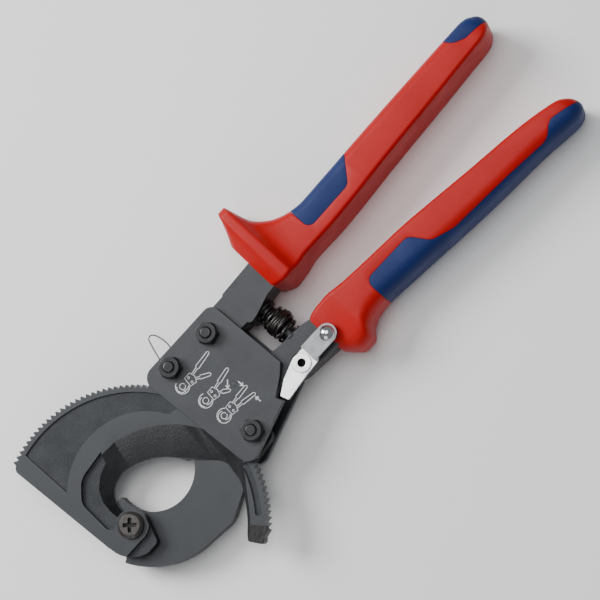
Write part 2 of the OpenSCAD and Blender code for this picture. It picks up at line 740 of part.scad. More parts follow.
// Grips: each station is [x, lowest y, highest y, lowest z, highest z].
function fixed_stations() = [
    [grip_x0, 22.2, 46.5, 2, guard_top - 4.4], [grip_x0 + 2.5, 20.8, 50.6, 0.8, guard_top - 2.2],
    [grip_x0 + 4.6, 19.9, 54.8, 0, guard_top - 0.5], [grip_x0 + 6, 19.6, 58.2, 0, guard_top],
    [grip_x0 + 9.2, 19.8, 58.2, 0, guard_top], [grip_x0 + 10.6, 20, 53.5, 0, guard_top - 1.3],
    [grip_x0 + 12.4, 20.2, 47.6, 0, guard_top - 2.8], [grip_x0 + 15.2, 20.8, 44.2, 0, grip_t - 0.2],
    [grip_x0 + 19, 21.4, 41.2, 0, grip_t - 0.6], [grip_x0 + 25, 21.4, 38.6, 0, grip_t - 0.5],
    [grip_x0 + 32, 21.3, 37.4, 0, grip_t - 0.2], [grip_x0 + 44, 21.8, 37.6, 0, grip_t],
    [grip_mid, 23.4, 38.2, 0, grip_t], [reach - 35.5, 25.1, 38.7, 0, grip_t],
    [reach - 15.5, 26.4, 38.9, 0, grip_t], [reach - 8.5, 26.8, 38.9, 0, grip_t],
    [reach - 5, 27.3, 38.5, 0.3, grip_t - 0.3], [reach - 2.5, 28.5, 37.3, 1.3, grip_t - 1.3],
    [reach - 0.8, 30, 35.9, 2.8, grip_t - 2.8], [reach, 31.4, 34.4, 4.6, grip_t - 4.6]
];
function moving_stations() = [
    [grip_x0, -13.8, 3.4, 2, 17.4], [grip_x0 + 2.5, -16.8, 4.3, 0.8, 18.2],
    [grip_x0 + 6.5, -20, 4.6, 0, 19.2], [grip_x0 + 11, -19.8, 4.4, 0, 20.6],
    [grip_x0 + 14.6, -16.4, 3.8, 0, grip_t], [grip_x0 + 19.5, -14.2, 3, 0, grip_t],
    [grip_x0 + 25.5, -13.6, 2.4, 0, grip_t], [grip_x0 + 39, -14.8, 1.4, 0, grip_t],
    [grip_mid - 15, -15.8, 0.5, 0, grip_t], [grip_mid, -17.3, -1.4, 0, grip_t],
    [reach - 47.5, -18.7, -3.9, 0, grip_t], [reach - 24.5, -19.9, -6.8, 0, grip_t],
    [reach - 15.5, -20.8, -8.4, 0, grip_t], [reach - 9, -21.5, -9.9, 0, grip_t],
    [reach - 5.5, -21.6, -10.9, 0.3, grip_t - 0.3], [reach - 2.8, -21, -12.5, 1.3, grip_t - 1.3],
    [reach - 0.9, -19.9, -14.4, 2.8, grip_t - 2.8], [reach, -18.6, -16, 4.6, grip_t - 4.6]
];
grip_round = 4;
function ring_points(s, k) =
    let (
        r = min(grip_round, (s[2] - s[1]) / 2 - 0.05),
        c = [[s[2] - r, s[4] - r], [s[1] + r, s[4] - r], [s[1] + r, s[3] + r], [s[2] - r, s[3] + r]]
    )
    [
        for (q = [0:3]) for (i = [0:k])
            let (p = c[q] + polar(r, 90 * q + 90 * i / k)) [s[0], p[0], p[1]]
    ];
module loft(stations) {
    k = 5;
    n = 4 * (k + 1);
    last = len(stations) - 1;
    points = [for (s = stations) each ring_points(s, k)];
    polyhedron(points, concat(
        [[for (j = [0:n - 1]) j]],
        [for (i = [0:last - 1]) for (j = [0:n - 1]) each side_faces(i, j, n)],
        [[for (j = [n - 1:-1:0]) last * n + j]]
    ));
}
module fixed_core() {
    fixed_tang();
    slab(lever_z0 - 1, front_z1 - 0.3) polygon([
        [grip_x0 - 2, 36], [grip_x0 + 6, 36], [grip_x0 + 6, 22.5], [grip_x0 - 2, 21.7]
    ]);
}
module moving_core() {
    moving_tang();
    slab(lever_z0, lever_z1) polygon([
        [grip_x0 - 2, 4.1], [grip_x0 + 6, 1.6], [grip_x0 + 6, -12.6], [grip_x0 - 2, -12.2]
    ]);
}
module fixed_inlay_zone() {
    slab(-1, grip_t + 1) polygon([
        [grip_x0 + 25, 45], [grip_x0 + 26, 30.5], [grip_x0 + 29.5, 27.2], [grip_x0 + 47, 27.2],
        [grip_x0 + 54.5, 34], [grip_x0 + 58.5, 45]
    ]);
}
module fixed_end_zone() {
    slab(-1, grip_t + 1) polygon([
        [reach - 18, 45], [reach - 12, 32.8], [reach + 5, 31.6], [reach + 5, 45]
    ]);
}
module moving_inlay_zone() {
    slab(-1, grip_t + 1) polygon([
        [grip_x0 + 26, -30], [grip_x0 + 26.4, -6.8], [grip_x0 + 30, -3.6], [grip_x0 + 46, -4.2],
        [grip_x0 + 50, -5.6], [grip_x0 + 57.5, -13.6], [grip_mid + 10, -15.6],
        [reach - 24, -17.8], [reach - 18, -17.6], [reach - 12.5, -14.6], [reach + 5, -17], [reach + 5, -30]
    ]);
}
module fixed_grip() {
    color(red) difference() {
        loft(fixed_stations());
        fixed_core();
        fixed_inlay_zone();
        fixed_end_zone();
    }
}
module fixed_grip_inlay() {
    color(blue) difference() {
        intersection() {
            loft(fixed_stations());
            fixed_inlay_zone();
        }
        fixed_core();
    }
}
module fixed_grip_end_inlay() {
    color(blue) difference() {
        intersection() {
            loft(fixed_stations());
            fixed_end_zone();
        }
        fixed_core();
    }
}
module moving_grip() {
    color(red) difference() {
        loft(moving_stations());
        moving_core();
        moving_inlay_zone();
    }
}
module moving_grip_inlay() {
    color(blue) difference() {
        intersection() {
            loft(moving_stations());
            moving_inlay_zone();
        }
        moving_core();
    }
}

front_plate();
back_plate();
fixed_blade();
moving_blade();
blade_pivot_screw();
blade_pivot_bush();
blade_pivot_washer();
blade_pivot_nut();
frame_bolts();
frame_nuts();
spacer_sleeves();
fixed_arm();
fixed_grip();
fixed_grip_inlay();
fixed_grip_end_inlay();
moving_arm();
moving_grip();
moving_grip_inlay();
handle_pivot_pin();
handle_pivot_spacer();
drive_pawl();
drive_pawl_pin();
drive_pawl_spring();
holding_pawl();
holding_pawl_spring();
spring_anchor_pin();
release_wire();
opening_spring();
arm_spring_seat();
lever_spring_seat();
latch_lever();
latch_rivet();
latch_spring();
latch_knob();
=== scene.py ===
import json
import math

import bmesh
import bpy
from mathutils import Matrix, Vector
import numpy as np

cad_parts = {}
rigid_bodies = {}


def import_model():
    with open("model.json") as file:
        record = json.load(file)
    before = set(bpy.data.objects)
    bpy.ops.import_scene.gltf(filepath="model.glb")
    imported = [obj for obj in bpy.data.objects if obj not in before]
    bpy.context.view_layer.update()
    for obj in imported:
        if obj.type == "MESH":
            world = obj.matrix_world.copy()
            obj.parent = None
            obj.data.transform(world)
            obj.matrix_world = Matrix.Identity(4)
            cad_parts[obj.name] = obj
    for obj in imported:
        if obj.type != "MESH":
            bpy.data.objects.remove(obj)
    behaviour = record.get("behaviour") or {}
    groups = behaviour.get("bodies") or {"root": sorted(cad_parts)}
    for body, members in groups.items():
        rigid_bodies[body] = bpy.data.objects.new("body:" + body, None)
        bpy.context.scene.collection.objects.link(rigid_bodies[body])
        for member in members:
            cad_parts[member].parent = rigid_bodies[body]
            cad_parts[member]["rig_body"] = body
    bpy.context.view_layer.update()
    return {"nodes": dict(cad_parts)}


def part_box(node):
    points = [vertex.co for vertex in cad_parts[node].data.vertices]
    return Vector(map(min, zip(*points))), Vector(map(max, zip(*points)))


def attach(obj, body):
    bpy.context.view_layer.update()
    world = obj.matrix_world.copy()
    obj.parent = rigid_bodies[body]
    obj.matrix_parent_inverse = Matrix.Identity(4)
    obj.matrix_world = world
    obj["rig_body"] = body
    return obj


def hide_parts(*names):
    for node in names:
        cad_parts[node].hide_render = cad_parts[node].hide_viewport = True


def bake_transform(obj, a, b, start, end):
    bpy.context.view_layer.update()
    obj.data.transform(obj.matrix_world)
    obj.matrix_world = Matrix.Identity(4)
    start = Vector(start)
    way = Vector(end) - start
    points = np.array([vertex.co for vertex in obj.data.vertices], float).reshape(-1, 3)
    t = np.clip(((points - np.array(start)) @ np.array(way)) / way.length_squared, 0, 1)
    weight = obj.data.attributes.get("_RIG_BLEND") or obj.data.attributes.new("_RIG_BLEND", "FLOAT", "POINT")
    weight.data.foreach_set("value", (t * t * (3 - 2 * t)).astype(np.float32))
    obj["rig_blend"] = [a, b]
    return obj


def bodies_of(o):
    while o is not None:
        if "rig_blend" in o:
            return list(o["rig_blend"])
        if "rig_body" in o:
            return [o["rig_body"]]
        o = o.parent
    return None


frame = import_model()
NODES = frame["nodes"]
MM = 0.001


# ---------------------------------------------------------------- sizes, in millimetres

def span(node):
    """Lowest and highest corner of a sub-part, in millimetres."""
    low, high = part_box(node)
    return low / MM, high / MM


plate_top = span("front_plate")[1].z
blade_top = span("moving_blade")[1].z
screw_top = span("blade_pivot_screw")[1].z
spring_low, spring_high = span("opening_spring")
loop_low, loop_high = span("release_wire")
rivet_low, rivet_high = span("latch_rivet")

TOOTH_ROOT_R = 53.7
ALONG_HOOK = Vector((-0.777, -0.629))
TIP_LENGTH = 4.2
TIP_START = Vector((34.0, -42.4)) - TIP_LENGTH * ALONG_HOOK
LOOP_FEET = Vector((55.5, 30.0))
GRIP_X0 = span("fixed_grip")[0].x
GRIP_T = span("moving_grip")[1].z


# ---------------------------------------------------------------- shader node groups

def new_group(name, inputs, outputs):
    """An empty shader group with its sockets, and its input and output nodes."""
    group = bpy.data.node_groups.new(name, "ShaderNodeTree")
    for label, kind, value in inputs:
        socket = group.interface.new_socket(label, in_out="INPUT", socket_type=kind)
        socket.default_value = value
    for label, kind in outputs:
        group.interface.new_socket(label, in_out="OUTPUT", socket_type=kind)
    entry = group.nodes.new("NodeGroupInput")
    leave = group.nodes.new("NodeGroupOutput")
    return group, entry, leave


def noise_node(tree, detail, roughness):
    node = tree.nodes.new("ShaderNodeTexNoise")
    node.inputs["Detail"].default_value = detail
    node.inputs["Roughness"].default_value = roughness
    return node


def range_node(tree, low, high):
    node = tree.nodes.new("ShaderNodeMapRange")
    node.inputs["From Min"].default_value = low
    node.inputs["From Max"].default_value = high
    return node


def colour_mix(tree):
    node = tree.nodes.new("ShaderNodeMix")
    node.data_type = "RGBA"
    return node


def mottle_group():
    """Two colours that drift into each other in soft clouds, and the clouds as a mask."""
    tree, entry, leave = new_group(
        "Soft mottle",
        [
            ("Main", "NodeSocketColor", (0.5, 0.5, 0.5, 1)),
            ("Drift", "NodeSocketColor", (0.4, 0.4, 0.4, 1)),
            ("Size", "NodeSocketFloat", 120.0),
        ],
        [("Color", "NodeSocketColor"), ("Mask", "NodeSocketFloat")],
    )
    place = tree.nodes.new("ShaderNodeTexCoord")
    clouds = noise_node(tree, 5.0, 0.62)
    spread = range_node(tree, 0.36, 0.64)
    mix = colour_mix(tree)
    tree.links.new(place.outputs["Object"], clouds.inputs["Vector"])
    tree.links.new(entry.outputs["Size"], clouds.inputs["Scale"])
    tree.links.new(clouds.outputs["Fac"], spread.inputs["Value"])
    tree.links.new(spread.outputs["Result"], mix.inputs["Factor"])
    tree.links.new(entry.outputs["Main"], mix.inputs["A"])
    tree.links.new(entry.outputs["Drift"], mix.inputs["B"])
    tree.links.new(mix.outputs["Result"], leave.inputs["Color"])
    tree.links.new(spread.outputs["Result"], leave.inputs["Mask"])
    return tree


def grain_group():
    """Fine grain over larger dents, as a surface normal and a mask of the high spots."""
    tree, entry, leave = new_group(
        "Surface grain",
        [
            ("Fine size", "NodeSocketFloat", 2500.0),
            ("Fine depth", "NodeSocketFloat", 0.00002),
            ("Dent size", "NodeSocketFloat", 300.0),
            ("Dent depth", "NodeSocketFloat", 0.00005),
        ],
        [("Normal", "NodeSocketVector"), ("High spots", "NodeSocketFloat")],
    )
    place = tree.nodes.new("ShaderNodeTexCoord")
    fine = noise_node(tree, 3.0, 0.6)
    dents = noise_node(tree, 4.0, 0.55)
    low_bump = tree.nodes.new("ShaderNodeBump")
    top_bump = tree.nodes.new("ShaderNodeBump")
    spots = range_node(tree, 0.5, 0.72)
    tree.links.new(place.outputs["Object"], fine.inputs["Vector"])
    tree.links.new(place.outputs["Object"], dents.inputs["Vector"])
    tree.links.new(entry.outputs["Fine size"], fine.inputs["Scale"])
    tree.links.new(entry.outputs["Dent size"], dents.inputs["Scale"])
    tree.links.new(entry.outputs["Dent depth"], low_bump.inputs["Distance"])
    tree.links.new(entry.outputs["Fine depth"], top_bump.inputs["Distance"])
    tree.links.new(dents.outputs["Fac"], low_bump.inputs["Height"])
    tree.links.new(fine.outputs["Fac"], top_bump.inputs["Height"])
    tree.links.new(low_bump.outputs["Normal"], top_bump.inputs["Normal"])
    tree.links.new(fine.outputs["Fac"], spots.inputs["Value"])
    tree.links.new(top_bump.outputs["Normal"], leave.inputs["Normal"])
    tree.links.new(spots.outputs["Result"], leave.inputs["High spots"])
    return tree


MOTTLE = mottle_group()
GRAIN = grain_group()


def place_group(tree, group, **values):
    node = tree.nodes.new("ShaderNodeGroup")
    node.node_tree = group
    for label, value in values.items():
        node.inputs[label.replace("_", " ").capitalize()].default_value = value
    return node


def finish_material(name, main, drift, rough, metal, fine, dent, mottle_size=90.0, sparkle=0.0,
                    specular=0.5):
    """A finish: two drifting colours, a roughness range, and grain of a size and a depth."""
    material = bpy.data.materials.new(name)
    material.use_nodes = True
    tree = material.node_tree
    shader = tree.nodes["Principled BSDF"]
    mottle = place_group(tree, MOTTLE, main=(*main, 1), drift=(*drift, 1), size=mottle_size)
    grain = place_group(tree, GRAIN, fine_size=fine[0], fine_depth=fine[1],
                        dent_size=dent[0], dent_depth=dent[1])
    polish = range_node(tree, 0.0, 1.0)
    polish.inputs["To Min"].default_value = rough[0]
    polish.inputs["To Max"].default_value = rough[1]
    tree.links.new(mottle.outputs["Mask"], polish.inputs["Value"])
    tree.links.new(polish.outputs["Result"], shader.inputs["Roughness"])
    tree.links.new(grain.outputs["Normal"], shader.inputs["Normal"])
    if sparkle:
        light_spot = colour_mix(tree)
        light_spot.inputs["B"].default_value = (*[min(1, c + sparkle) for c in main], 1)
        tree.links.new(mottle.outputs["Color"], light_spot.inputs["A"])
        tree.links.new(grain.outputs["High spots"], light_spot.inputs["Factor"])
        tree.links.new(light_spot.outputs["Result"], shader.inputs["Base Color"])
    else:
        tree.links.new(mottle.outputs["Color"], shader.inputs["Base Color"])
    shader.inputs["Metallic"].default_value = metal
    shader.inputs["Specular IOR Level"].default_value = specular
    return material


# ---------------------------------------------------------------- finishes

plate_coat = finish_material(
    "plate coat", (0.017, 0.020, 0.025), (0.013, 0.0155, 0.020), (0.38, 0.48), 0.1,
    (5200, 0.00003), (500, 0.00002), sparkle=0.02)
blade_coat = finish_material(
    "blade coat", (0.020, 0.0235, 0.029), (0.016, 0.019, 0.024), (0.36, 0.48), 0.12,
    (4200, 0.000015), (220, 0.00002), sparkle=0.014)
panel_grain = finish_material(
    "grained panel floor", (0.018, 0.021, 0.026), (0.014, 0.0165, 0.021), (0.55, 0.68), 0.1,
    (3000, 0.00022), (700, 0.0001), sparkle=0.03)
# dark forged colour: the real forged bevel, and also painted shade on upright sides and walls
forged_bevel_and_shade = finish_material(
    "dark forged bevel and painted shade", (0.007, 0.0075, 0.009), (0.013, 0.0135, 0.016), (0.42, 0.6), 0.2,
    (2600, 0.00014), (1100, 0.00024), mottle_size=260, sparkle=0.012)
hook_tip_scale = finish_material(
    "hook tip", (0.007, 0.0065, 0.0065), (0.015, 0.0135, 0.0125), (0.4, 0.6), 0.3,
    (2200, 0.00012), (900, 0.00045), mottle_size=420, sparkle=0.02)
worn_edge = finish_material(
    "worn coated edge", (0.060, 0.066, 0.076), (0.028, 0.032, 0.040), (0.32, 0.46), 0.5,
    (4200, 0.00001), (300, 0.00003), mottle_size=260)
# darker rounded edges: painted shade along the edges of the blade and arms
shaded_edge = finish_material(
    "painted shade edge", (0.010, 0.011, 0.013), (0.020, 0.022, 0.027), (0.36, 0.5), 0.35,
    (4200, 0.00001), (300, 0.00005), mottle_size=260)
tooth_steel = finish_material(
    "tooth steel", (0.060, 0.064, 0.070), (0.025, 0.027, 0.031), (0.34, 0.48), 0.6,
    (4200, 0.00001), (300, 0.00002), mottle_size=500)
black_oxide = finish_material(
    "black oxide", (0.010, 0.0105, 0.012), (0.020, 0.021, 0.023), (0.28, 0.42), 0.5,
    (4200, 0.00002), (900, 0.00006), mottle_size=400)
black_oxide_edge = finish_material(
    "rubbed black oxide", (0.10, 0.10, 0.105), (0.03, 0.031, 0.034), (0.25, 0.4), 0.8,
    (4200, 0.00001), (900, 0.00003), mottle_size=500)
pivot_screw_steel = finish_material(
    "pivot screw steel", (0.085, 0.078, 0.072), (0.055, 0.052, 0.05), (0.26, 0.42), 0.8,
    (3600, 0.00002), (700, 0.00005), mottle_size=500)
# dark colour painted as shade inside the screw's cross and the rivet's bore
recess_shade = finish_material(
    "painted recess shade", (0.012, 0.011, 0.010), (0.02, 0.019, 0.018), (0.5, 0.6), 0.5,
    (3600, 0.00002), (700, 0.00003), mottle_size=500)
bare_steel = finish_material(
    "bare steel", (0.46, 0.46, 0.47), (0.36, 0.36, 0.37), (0.24, 0.36), 0.95,
    (4200, 0.00001), (300, 0.00002))
dark_spring_steel = finish_material(
    "oiled spring steel", (0.075, 0.070, 0.066), (0.035, 0.033, 0.032), (0.16, 0.3), 0.85,
    (4200, 0.00001), (500, 0.00002), mottle_size=600)
bright_wire_steel = finish_material(
    "bright wire", (0.17, 0.175, 0.185), (0.13, 0.135, 0.145), (0.2, 0.3), 0.95,
    (4200, 0.00001), (500, 0.00001), mottle_size=600)
bright_plate_steel = finish_material(
    "nickel plate", (0.80, 0.80, 0.81), (0.68, 0.69, 0.71), (0.22, 0.34), 0.85,
    (3600, 0.00001), (240, 0.00005), mottle_size=260)
# rougher nickel, darkened as painted shade on the tilted latch tab
shaded_nickel_tab = finish_material(
    "nickel tab painted shade", (0.27, 0.275, 0.285), (0.22, 0.225, 0.235), (0.34, 0.46), 0.8,
    (4600, 0.00004), (240, 0.00002), mottle_size=260)
chrome_dome = finish_material(
    "chrome dome", (0.72, 0.73, 0.75), (0.60, 0.61, 0.64), (0.07, 0.14), 1.0,
    (4200, 0.000005), (300, 0.00001), mottle_size=260)
red_plastic = finish_material(
    "red hard plastic", (0.44, 0.0012, 0.0008), (0.40, 0.001, 0.0007), (0.38, 0.48), 0.0,
    (3000, 0.00009), (160, 0.00003), mottle_size=60, specular=0.25)
blue_plastic = finish_material(
    "blue soft plastic", (0.004, 0.018, 0.110), (0.0035, 0.015, 0.094), (0.46, 0.56), 0.0,
    (2400, 0.00013), (160, 0.00003), mottle_size=60, specular=0.25)
white_print = finish_material(
    "white print", (0.72, 0.74, 0.76), (0.55, 0.57, 0.60), (0.5, 0.6), 0.0,
    (4200, 0.00001), (900, 0.00001), mottle_size=900)


# ---------------------------------------------------------------- making pieces

def piece(name, mesh_maker, body, materials, smooth_angle=35.0):
    """Closes a bmesh into an object on a body, with its materials and its shading."""
    mesh = bpy.data.meshes.new(name)
    mesh_maker.to_mesh(mesh)
    mesh_maker.free()
    for material in materials:
        mesh.materials.append(material)
    for face in mesh.polygons:
        face.use_smooth = True
    mesh.set_sharp_from_angle(angle=math.radians(smooth_angle))
    shown = bpy.data.objects.new(name, mesh)
    bpy.context.scene.collection.objects.link(shown)
    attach(shown, body)
    return shown


def even_shading(shown):
    """Lets the large flats keep their own direction next to small rounded edges."""
    weight = shown.modifiers.new("even shading", "WEIGHTED_NORMAL")
    weight.keep_sharp = True
    weight.weight = 80


def merged_copy(node):
    """A sub-part's own mesh, merged, with its flats joined up again."""
    work = bmesh.new()
    work.from_mesh(NODES[node].data)
    bmesh.ops.remove_doubles(work, verts=work.verts, dist=0.002 * MM)
    bmesh.ops.dissolve_limit(
        work, angle_limit=math.radians(0.6), verts=work.verts, edges=work.edges)
    return work


SHARP_EDGE = 26.0


def round_edges(work, width, segments, keep=None):
    """Rounds the sharp edges of a mesh, and marks the rounded strips as material 1."""
    edges = [
        e for e in work.edges
        if len(e.link_faces) == 2 and e.calc_face_angle(0) > math.radians(SHARP_EDGE)
        and (keep is None or keep(e))
    ]
    rounded = bmesh.ops.bevel(
        work, geom=edges, offset=width * MM, offset_type="OFFSET", segments=segments,
        profile=0.5, affect="EDGES", material=-1, clamp_overlap=True)
    for face in rounded["faces"]:
        face.material_index = 1


def body_of(node):
    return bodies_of(NODES[node])[0]


def dressed(node, materials, width=0.25, segments=2, keep=None, paint=None):
    """A sub-part with rounded edges and its finish, in place of the plain one."""
    work = merged_copy(node)
    round_edges(work, width, segments, keep)
    if paint:
        paint(work)
    shown = piece(node + "_dressed", work, body_of(node), materials)
    even_shading(shown)
    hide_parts(node)


def ring_sweep(work, rings):
    """A closed skin over rings of points: one ring of edges, extruded from each to the next."""
    verts = [work.verts.new(Vector(p) * MM) for p in rings[0]]
    edges = [work.edges.new((a, b)) for a, b in zip(verts, verts[1:] + verts[:1])]
    bmesh.ops.edgeloop_fill(work, edges=edges)
    for ring in rings[1:]:
        grown = bmesh.ops.extrude_edge_only(work, edges=edges)["geom"]
        fresh = [g for g in grown if isinstance(g, bmesh.types.BMVert)]
        partner = {}
        for vert in fresh:
            for edge in vert.link_edges:
                other = edge.other_vert(vert)
                if other in verts:
                    partner[other] = vert
        verts = [partner[v] for v in verts]
        edges = [work.edges.get((a, b)) for a, b in zip(verts, verts[1:] + verts[:1])]
        for vert, point in zip(verts, ring):
            vert.co = Vector(point) * MM
    bmesh.ops.edgeloop_fill(work, edges=edges)
    bmesh.ops.recalc_face_normals(work, faces=work.faces)


def wire_rings(route, radius, sides):
    """Rings of points square to a route."""
    rings = []
    last = len(route) - 1
    up = Vector((0, 0, 1))
    for i, point in enumerate(route):
        along = (route[min(i + 1, last)] - route[max(i - 1, 0)]).normalized()
        side = along.cross(up).normalized()
        lift = side.cross(along)
        turns = [2 * math.pi * k / sides for k in range(sides)]
        rings.append([point + radius * (math.cos(t) * side + math.sin(t) * lift) for t in turns])
    return rings


def smooth_route(points, steps):
    """A smooth route through points, with a few steps between each pair."""
    route = []
    last = len(points) - 1
    for i in range(last):
        p0, p1 = points[max(i - 1, 0)], points[i]
        p2, p3 = points[i + 1], points[min(i + 2, last)]
        for k in range(steps):
            t = k / steps
            route.append(0.5 * (
                2 * p1 + (p2 - p0) * t + (2 * p0 - 5 * p1 + 4 * p2 - p3) * t * t
                + (3 * p1 - p0 - 3 * p2 + p3) * t ** 3))
    route.append(points[last])
    return route


# ---------------------------------------------------------------- plates, arms and blades

dressed("front_plate", [plate_coat, worn_edge], 0.45, 3)
dressed("back_plate", [plate_coat, worn_edge], 0.45, 3)


def off_teeth(edge):
    """True for an edge away from the ratchet teeth."""
    return all(v.co.xy.length < (TOOTH_ROOT_R - 0.2) * MM for v in edge.verts)


def cut_across(work, point, normal):
    """Splits the faces that a plane crosses."""
    bmesh.ops.bisect_plane(
        work, geom=[*work.verts, *work.edges, *work.faces], plane_co=point, plane_no=normal)


BEVEL_REACH = 51.0
HUB_R = 16.0
HOOK_INNER_R = 38.0
POCKET_WALL_DROP = 1.7
FLOOR_DROP = 0.3
HOOK_HEADING = -8
TIP_HEADING = -40
LAST_TOOTH_HEADING = -51


def paint_moving_blade(work):
    """Panel floors grained, the bevel and the hook's end dark and forged, the teeth worn, and the upright
    walls of the hook, pocket and hub painted dark as shade.
    """
    top = blade_top * MM
    cut_across(work, TIP_START.to_3d() * MM, ALONG_HOOK.to_3d())
    for face in work.faces:
        at = face.calc_center_median()
        radius = at.xy.length
        heading = math.degrees(math.atan2(at.y, at.x))
        lift = face.normal.z
        tilted = 0.25 < lift < 0.97
        upright = abs(lift) < 0.3
        on_side = abs(lift) < 0.5
        low_floor = lift > 0.9 and at.z < top - FLOOR_DROP * MM
        pocket_wall = upright and at.z > top - POCKET_WALL_DROP * MM and radius < BEVEL_REACH * MM
        past_tip = (at.xy / MM - TIP_START).dot(ALONG_HOOK) > 0
        if past_tip and heading < TIP_HEADING and radius > HOOK_INNER_R * MM:
            face.material_index = 5
        elif radius > (TOOTH_ROOT_R - 0.6) * MM and on_side and heading > LAST_TOOTH_HEADING:
            face.material_index = 4
        elif tilted and radius < BEVEL_REACH * MM and face.material_index == 0:
            face.material_index = 3
        # the hook's upright sides, the pocket wall and the hub walls take the dark colour as painted shade
        elif heading < HOOK_HEADING and radius > HOOK_INNER_R * MM and on_side:
            face.material_index = 3
        elif pocket_wall or (radius < HUB_R * MM and upright):
            face.material_index = 3
        elif low_floor:
            face.material_index = 2


dressed("moving_blade", [blade_coat, worn_edge, panel_grain, forged_bevel_and_shade, tooth_steel, hook_tip_scale],
        0.22, 2, off_teeth, paint_moving_blade)


def paint_sides_shade(work):
    """Every upright or sloped side takes the third material, a dark colour painted on as shade."""
    for face in work.faces:
        if abs(face.normal.z) < 0.9 and face.material_index == 0:
            face.material_index = 2


# the sides and rounded edges of the fixed blade and the arms are painted dark as shade
dressed("fixed_blade", [blade_coat, shaded_edge, forged_bevel_and_shade], 0.3, 2, None, paint_sides_shade)
dressed("fixed_arm", [plate_coat, shaded_edge, forged_bevel_and_shade], 0.7, 3, None, paint_sides_shade)
dressed("moving_arm", [plate_coat, shaded_edge, forged_bevel_and_shade], 0.7, 3, None, paint_sides_shade)


# ---------------------------------------------------------------- fasteners and inner parts

dressed("frame_nuts", [black_oxide, black_oxide_edge], 0.25, 2)
dressed("frame_bolts", [black_oxide, black_oxide_edge], 0.18, 2)


CROSS_R = 3.2
CROSS_DEPTH = 1.6
CROSS_RIM = 0.25


def paint_recess(work):
    """The cross in the head is painted dark inside, as shade."""
    top = screw_top * MM
    for face in work.faces:
        at = face.calc_center_median()
        below_rim = top - CROSS_DEPTH * MM < at.z < top - CROSS_RIM * MM
        if below_rim and at.xy.length < CROSS_R * MM:
            face.material_index = 2


dressed("blade_pivot_screw", [pivot_screw_steel, pivot_screw_steel, recess_shade], 0.16, 2,
        None, paint_recess)
dressed("blade_pivot_nut", [black_oxide, black_oxide_edge], 0.3, 2)
for inner in ("blade_pivot_bush", "blade_pivot_washer", "spacer_sleeves", "handle_pivot_spacer",
              "drive_pawl_pin", "latch_spring"):
    dressed(inner, [bare_steel, bare_steel], 0.12, 1)
for inner in ("handle_pivot_pin", "drive_pawl", "holding_pawl", "arm_spring_seat",
              "lever_spring_seat"):
    dressed(inner, [black_oxide, black_oxide_edge], 0.15, 2)
for inner in ("drive_pawl_spring", "holding_pawl_spring"):
    NODES[inner].data.materials.clear()
    NODES[inner].data.materials.append(bright_wire_steel)


# ---------------------------------------------------------------- latch

def paint_latch_tab(work):
    """The raised tab and the step up to it take a rougher nickel, darker as painted shade on the tilted tab.
    """
    for face in work.faces:
        if face.calc_center_median().z > (rivet_high.z + 0.1) * MM or abs(face.normal.x) > 0.9:
            face.material_index = 2


RIVET_BORE_R = 1.75


def paint_rivet_hole(work):
    """The bore of the hollow rivet is painted dark, as shade."""
    middle = (rivet_low.xy + rivet_high.xy) / 2 * MM
    for face in work.faces:
        away = (face.calc_center_median().xy - middle).length
        if away < RIVET_BORE_R * MM and abs(face.normal.z) < 0.5:
            face.material_index = 2


dressed("spring_anchor_pin", [tooth_steel, worn_edge], 0.15, 2)
dressed("latch_lever", [bright_plate_steel, bright_plate_steel, shaded_nickel_tab], 0.35, 3,
        None, paint_latch_tab)
dressed("latch_rivet", [bright_plate_steel, bright_plate_steel, recess_shade], 0.22, 3,
        None, paint_rivet_hole)
dressed("latch_knob", [chrome_dome, chrome_dome], 0.2, 2)


# ---------------------------------------------------------------- release loop

def release_loop():
    """One thin bright wire, bent into a thumb loop, with both feet in the pawl's rim."""
    height = (loop_low.z + loop_high.z) / 2
    bends = [
        (-1.9, 4.2), (-1.8, 5.6), (-1.6, 7.2), (-0.9, 10), (0.1, 13.6), (0.9, 16), (1.5, 16.8),
        (2.4, 17), (3.3, 16.6), (4.2, 15.2), (4.9, 12.6), (5.1, 9.6), (4.6, 6.8), (3.7, 4.6),
        (2.8, 3.2),
    ]
    points = [Vector((LOOP_FEET.x + x, LOOP_FEET.y + y, height)) for x, y in bends]
    work = bmesh.new()
    ring_sweep(work, wire_rings(smooth_route(points, 5), (loop_high.z - loop_low.z) / 2, 12))
    shown = piece("release_loop_wire", work, "holding_pawl", [bright_wire_steel])
    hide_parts("release_wire")


release_loop()


# ---------------------------------------------------------------- opening spring

